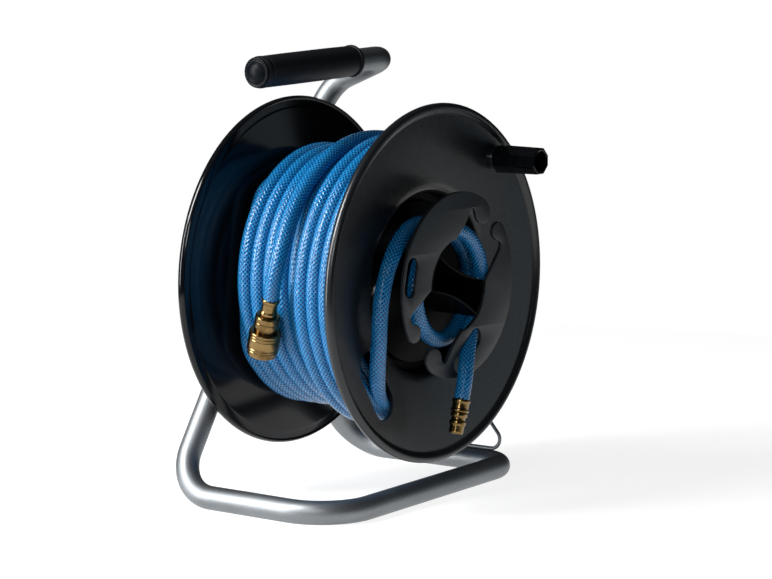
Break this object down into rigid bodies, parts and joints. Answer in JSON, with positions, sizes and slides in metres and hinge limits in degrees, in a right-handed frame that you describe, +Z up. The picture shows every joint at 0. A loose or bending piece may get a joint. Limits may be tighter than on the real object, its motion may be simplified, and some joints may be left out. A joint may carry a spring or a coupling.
{
  "type": "hand-carried air hose reel",
  "caption": "Hand-carried hose reel: black plastic drum on a bent steel tube stand, wound with blue braided air hose ending in brass couplings.",
  "frame": {"origin": "middle of the footprint at floor level, taken over the frame and the drum without the hose and its fittings", "axes": "+Z up, +Y along the drum's axle from the open crank side to the upright behind, +X towards the side rail that carries the wire guide"},
  "size_m": [0.2738, 0.2336, 0.3433],
  "materials": {
    "frame_steel": "satin",
    "zinc_hardware": "satin",
    "drum_plastic": "satin",
    "drum_gloss": "gloss",
    "grip_rubber": "matt",
    "hose_pvc": "gloss",
    "brass": "satin"
  },
  "bodies": {
    "frame": {"frame_tube": "frame_steel", "grip_sleeve": "grip_rubber", "grip_end_cap": "drum_plastic", "guide_loop": "frame_steel", "axle": "zinc_hardware", "axle_washer": "zinc_hardware", "axle_nut": "zinc_hardware", "axle_spacer": "zinc_hardware", "front_washer": "zinc_hardware", "axle_clip": "zinc_hardware"},
    "drum": {"front_drum_half": "drum_plastic", "rear_flange": "drum_gloss", "bush_rear": "drum_plastic", "bush_front": "drum_plastic", "flange_screw_1": "zinc_hardware", "flange_screw_2": "zinc_hardware", "flange_screw_3": "zinc_hardware", "flange_screw_4": "zinc_hardware", "hose_clip": "drum_plastic", "clip_screw_1": "zinc_hardware", "clip_screw_2": "zinc_hardware", "clip_screw_3": "zinc_hardware", "crank_pin": "zinc_hardware", "hose_winding": "hose_pvc", "hose_tail": "hose_pvc", "hose_lead": "hose_pvc", "nipple_ferrule": "brass", "plug_nipple": "brass", "coupling_ferrule": "brass", "coupling_body": "brass"},
    "crank_knob": {"crank_knob": "drum_plastic"},
    "coupling_sleeve": {"coupling_sleeve": "brass"}
  },
  "joints": [
    {"name": "drum_spin", "type": "hinge", "parent": "frame", "child": "drum", "pos_m": [-0.00194, -0.00525, 0.1689], "axis": [0, 1, 0], "continuous": true},
    {"name": "crank_knob_spin", "type": "hinge", "parent": "drum", "child": "crank_knob", "pos_m": [0.07206, -0.09525, 0.2574], "axis": [0, 1, 0], "continuous": true},
    {"name": "coupling_sleeve_slide", "type": "slide", "parent": "drum", "child": "coupling_sleeve", "axis": [-0.1734, -0.3346, 0.9263], "range_m": [0, 0.003], "stiffness_N_per_m": 800, "springref_m": -0.004}
  ]
}
